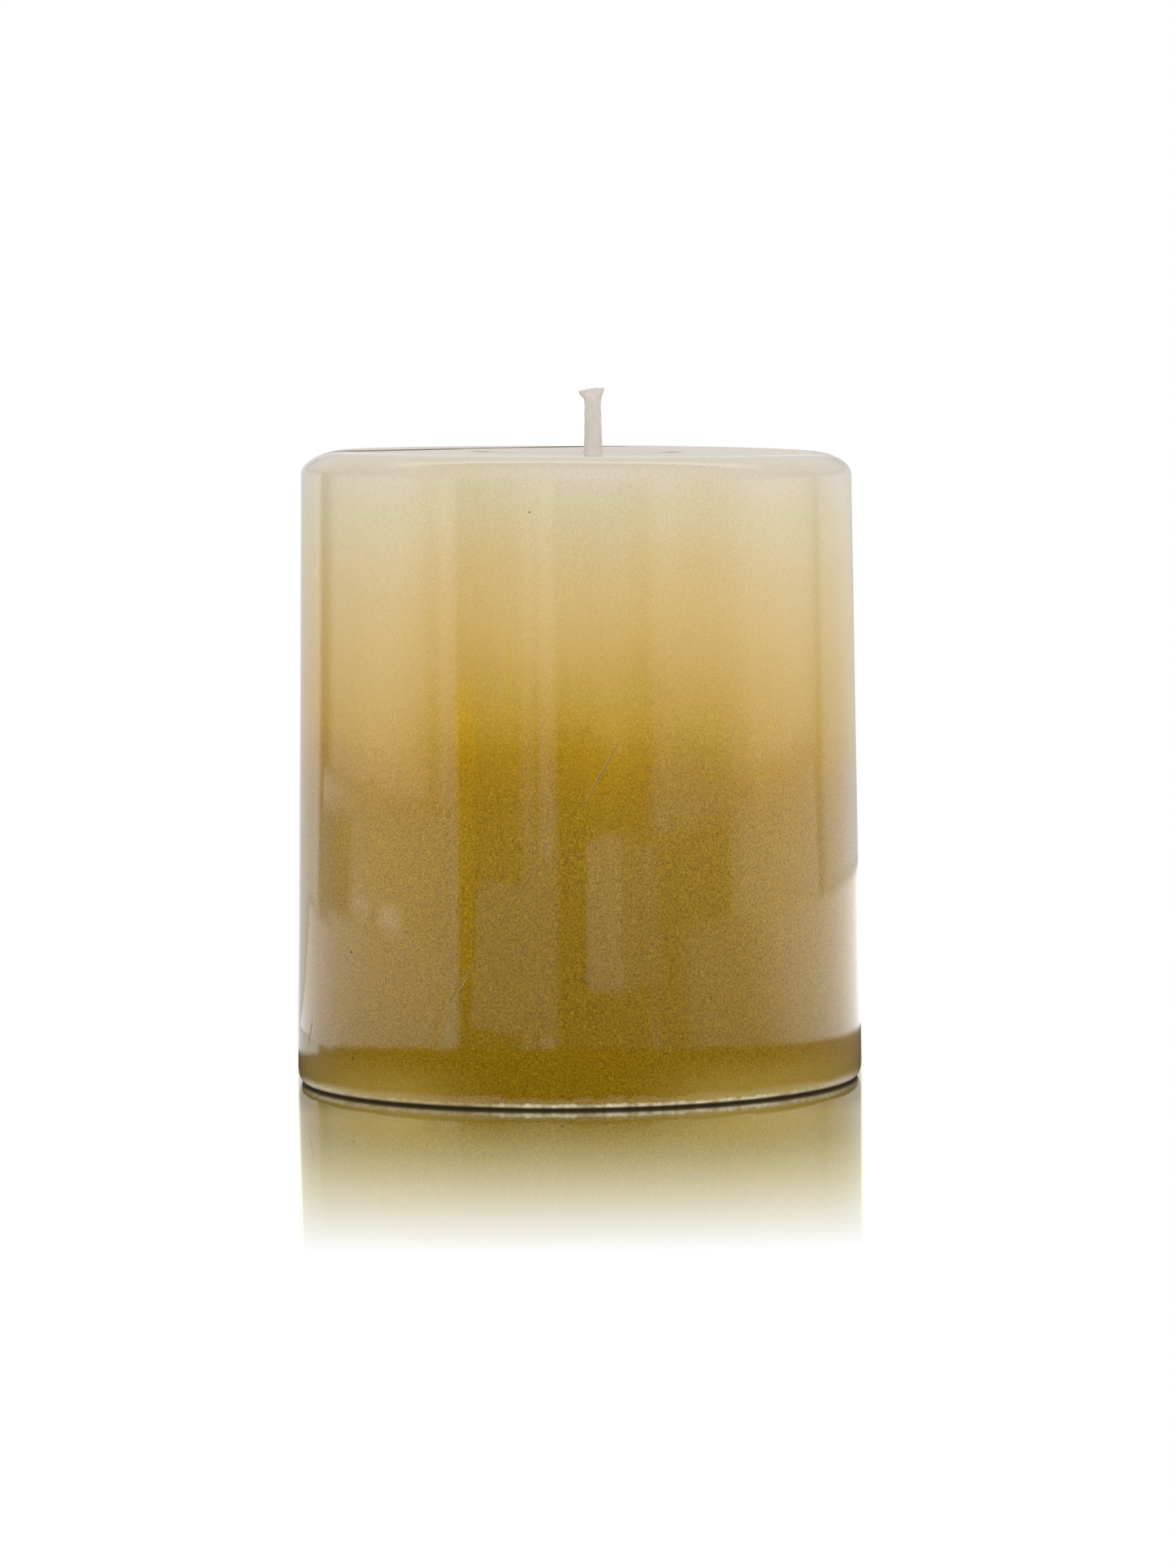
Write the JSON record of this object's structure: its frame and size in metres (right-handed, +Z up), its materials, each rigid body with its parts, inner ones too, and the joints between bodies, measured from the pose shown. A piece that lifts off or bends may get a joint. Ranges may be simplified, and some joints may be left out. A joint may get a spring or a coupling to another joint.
{
  "type": "unity candle",
  "caption": "Squat round pillar candle with rounded rim, gold ombre lacquer under a clear gloss coat and a short waxed wick.",
  "frame": {"origin": "centre of the base plane, on the pillar's axis", "axes": "+Z up along the pillar's axis; +X points to the side the wick stands off to; -Y faces the viewer of the front"},
  "size_m": [0.076, 0.076, 0.0929],
  "materials": {
    "core_wax": "moulded paraffin wax, satin",
    "ivory_overdip_wax": "smooth ivory hard wax",
    "gold_lacquer": "metallic gold lacquer with fine flake",
    "clear_lacquer": "clear high-gloss lacquer",
    "cotton_braid": "square-braided cotton",
    "wick_wax": "translucent primer wax",
    "tinned_steel": "tinned sheet steel",
    "seal_wax": "poured wax, satin"
  },
  "bodies": {
    "root": {"wax_core": "core_wax", "overdip_shell": "ivory_overdip_wax", "gold_lacquer_coat": "gold_lacquer", "clear_gloss_coat": "clear_lacquer", "wick_braid": "cotton_braid", "wick_wax_coat": "wick_wax", "wick_sustainer": "tinned_steel", "sustainer_wax_seal": "seal_wax"}
  },
  "joints": []
}
